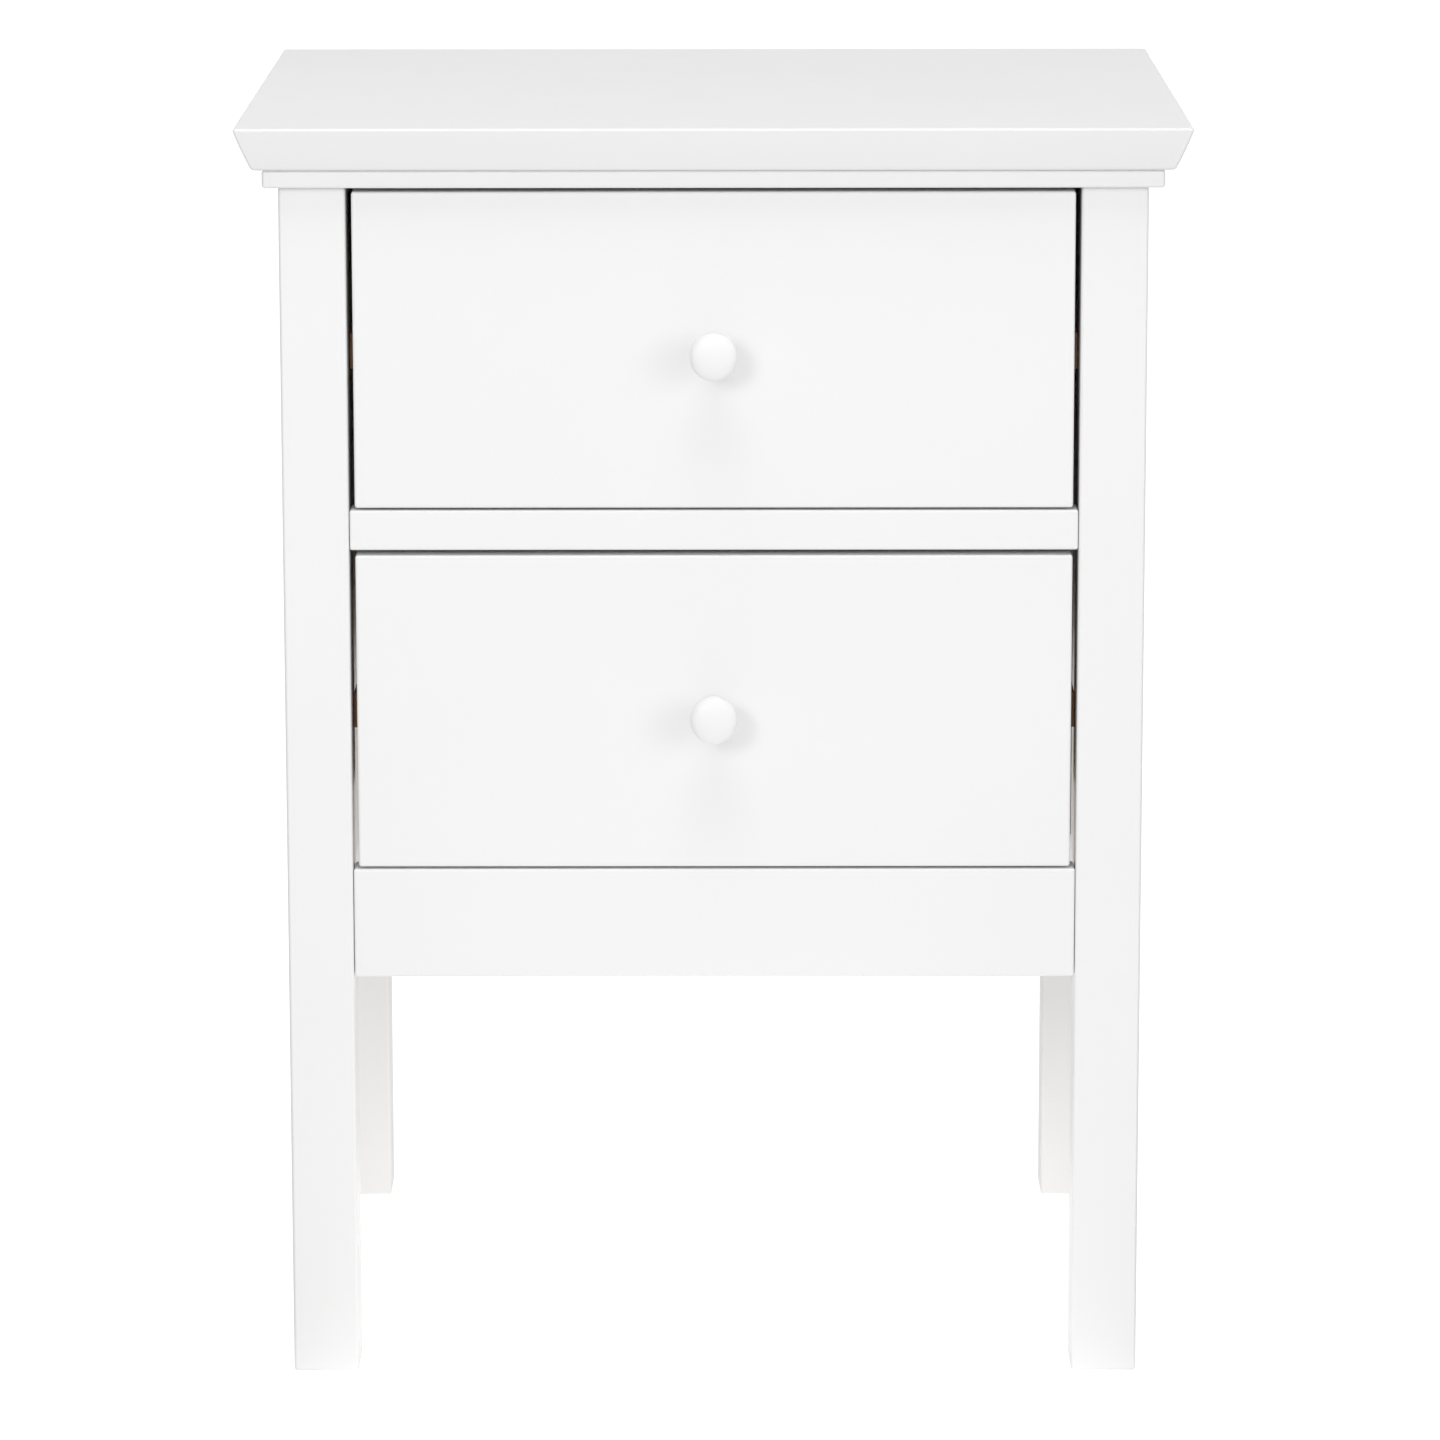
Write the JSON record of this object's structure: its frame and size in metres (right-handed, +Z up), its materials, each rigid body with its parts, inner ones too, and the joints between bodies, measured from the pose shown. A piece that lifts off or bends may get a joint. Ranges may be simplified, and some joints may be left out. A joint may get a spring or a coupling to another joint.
{
  "type": "nightstand",
  "caption": "White painted wooden nightstand with square legs, an under-bevelled top and two inset drawers with round knobs, which slide on side-hung wooden runners.",
  "frame": {"origin": "on the floor, under the middle of the whole object's box, knobs included", "axes": "+Z up; the drawer fronts face -Y; +X to the right of someone who stands in front of the drawers"},
  "size_m": [0.442, 0.3714, 0.6],
  "materials": {
    "white_lacquer": "satin white lacquer on solid wood and fibreboard, with softly eased edges",
    "runner_wood": "planed brown hardwood, unfinished",
    "drawer_wood": "planed pale softwood, unfinished",
    "hardboard": "smooth brown hardboard; the back panel's outer face is painted white",
    "dowel_wood": "turned beech, unfinished",
    "zinc_steel": "bright zinc-plated steel"
  },
  "bodies": {
    "carcase": {"back_panel": "hardboard", "cornice_plate": "white_lacquer", "front_apron": "white_lacquer", "front_apron_dowel_left_1": "dowel_wood", "front_apron_dowel_left_2": "dowel_wood", "front_apron_dowel_right_1": "dowel_wood", "front_apron_dowel_right_2": "dowel_wood", "front_left_leg": "white_lacquer", "front_right_leg": "white_lacquer", "left_side_panel": "white_lacquer", "lower_left_runner": "runner_wood", "lower_left_runner_screw_front": "zinc_steel", "lower_left_runner_screw_rear": "zinc_steel", "lower_right_runner": "runner_wood", "lower_right_runner_screw_front": "zinc_steel", "lower_right_runner_screw_rear": "zinc_steel", "middle_rail": "white_lacquer", "middle_rail_dowel_left_1": "dowel_wood", "middle_rail_dowel_right_1": "dowel_wood", "rear_left_leg": "white_lacquer", "rear_rail": "white_lacquer", "rear_rail_dowel_left_1": "dowel_wood", "rear_rail_dowel_left_2": "dowel_wood", "rear_rail_dowel_right_1": "dowel_wood", "rear_rail_dowel_right_2": "dowel_wood", "rear_right_leg": "white_lacquer", "right_side_panel": "white_lacquer", "top_board": "white_lacquer", "upper_left_runner": "runner_wood", "upper_left_runner_screw_front": "zinc_steel", "upper_left_runner_screw_rear": "zinc_steel", "upper_right_runner": "runner_wood", "upper_right_runner_screw_front": "zinc_steel", "upper_right_runner_screw_rear": "zinc_steel"},
    "upper_drawer": {"upper_drawer_back": "drawer_wood", "upper_drawer_bottom": "hardboard", "upper_drawer_bottom_screw": "zinc_steel", "upper_drawer_front": "white_lacquer", "upper_drawer_left_screw_lower": "zinc_steel", "upper_drawer_left_screw_upper": "zinc_steel", "upper_drawer_left_side": "drawer_wood", "upper_drawer_right_screw_lower": "zinc_steel", "upper_drawer_right_screw_upper": "zinc_steel", "upper_drawer_right_side": "drawer_wood", "upper_knob": "white_lacquer", "upper_knob_screw": "zinc_steel"},
    "lower_drawer": {"lower_drawer_back": "drawer_wood", "lower_drawer_bottom": "hardboard", "lower_drawer_bottom_screw": "zinc_steel", "lower_drawer_front": "white_lacquer", "lower_drawer_left_screw_lower": "zinc_steel", "lower_drawer_left_screw_upper": "zinc_steel", "lower_drawer_left_side": "drawer_wood", "lower_drawer_right_screw_lower": "zinc_steel", "lower_drawer_right_screw_upper": "zinc_steel", "lower_drawer_right_side": "drawer_wood", "lower_knob": "white_lacquer", "lower_knob_screw": "zinc_steel"}
  },
  "joints": [
    {"name": "upper_drawer_slide", "type": "slide", "parent": "carcase", "child": "upper_drawer", "axis": [0, -1, 0], "range_m": [0, 0.22]},
    {"name": "lower_drawer_slide", "type": "slide", "parent": "carcase", "child": "lower_drawer", "axis": [0, -1, 0], "range_m": [0, 0.22]}
  ]
}
